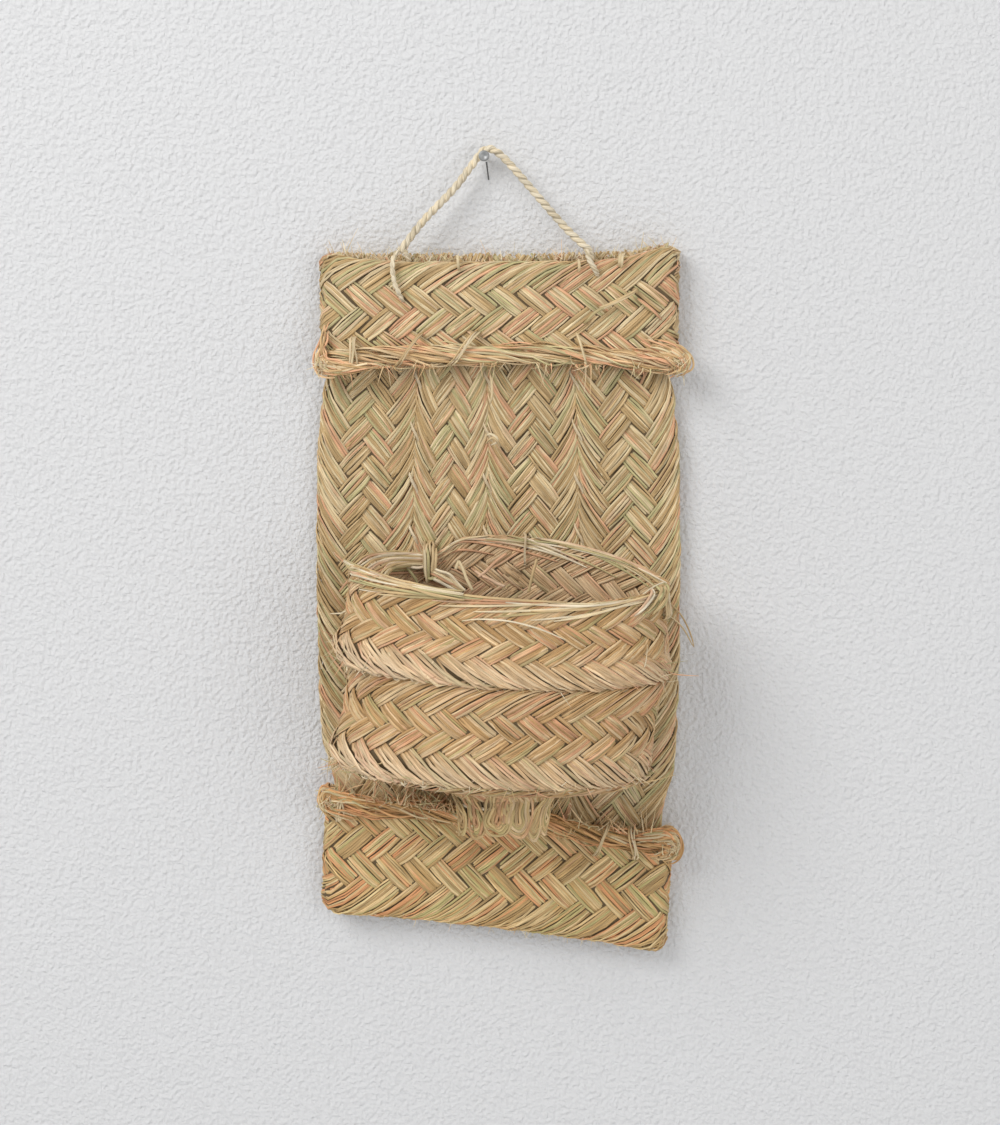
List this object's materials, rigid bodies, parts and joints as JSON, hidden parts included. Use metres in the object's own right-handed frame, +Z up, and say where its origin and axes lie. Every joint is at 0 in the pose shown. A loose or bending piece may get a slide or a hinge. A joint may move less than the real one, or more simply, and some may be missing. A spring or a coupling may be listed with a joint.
{
  "type": "wall basket",
  "caption": "Wall basket of plaited grass: an upright panel held between two plaited bands, with an oval pocket on its front and a twisted cord to hang it by.",
  "frame": {"origin": "the point on the nail's axis that the hanging cord passes over, 9.1 mm in front of the wall", "axes": "+Z up, +Y towards the wall, +X to the right of someone facing the basket"},
  "size_m": [0.2036, 0.1066, 0.4443],
  "materials": {
    "panel_grass": "dry plaited esparto grass, straw with green and pink blades",
    "band_grass": "dry plaited esparto grass, straw with orange and green blades",
    "edge_grass": "hank of unplaited esparto grass",
    "pocket_grass": "dry plaited esparto grass, paler straw with pink blades",
    "tie_grass": "twisted esparto binding",
    "cord_grass": "pale twisted two-ply cord"
  },
  "bodies": {
    "hanging_loop": {"hanging_cord": "cord_grass"},
    "woven_body": {"upright_plait_1": "panel_grass", "upright_plait_2": "panel_grass", "upright_plait_3": "panel_grass", "upright_plait_4": "panel_grass", "top_band": "band_grass", "foot_band": "band_grass", "top_edge_cord": "edge_grass", "foot_edge_cord": "edge_grass", "pocket_upper_row": "pocket_grass", "pocket_lower_row": "pocket_grass", "pocket_base": "pocket_grass", "top_band_tie_1": "tie_grass", "top_band_tie_2": "tie_grass", "top_band_tie_3": "tie_grass", "top_band_tie_4": "tie_grass", "foot_band_tie_1": "tie_grass", "foot_band_tie_2": "tie_grass", "foot_band_tie_3": "tie_grass", "pocket_knot": "tie_grass", "pocket_rim_tie": "tie_grass", "pocket_low_tie_1": "tie_grass", "pocket_low_tie_2": "tie_grass", "pocket_rim_whipping": "tie_grass", "gather_cord": "tie_grass", "panel_seam_cord_1": "tie_grass", "panel_seam_cord_2": "tie_grass", "panel_seam_cord_3": "tie_grass", "pocket_seam_cord_1": "tie_grass", "pocket_seam_cord_2": "tie_grass", "left_cord_eye": "cord_grass", "right_cord_eye": "cord_grass"}
  },
  "joints": [
    {"name": "panel_swing", "type": "hinge", "parent": "hanging_loop", "child": "woven_body", "pos_m": [0, -0.0066, -0.0497], "axis": [-1, 0, 0], "range_deg": [0, 80]}
  ]
}
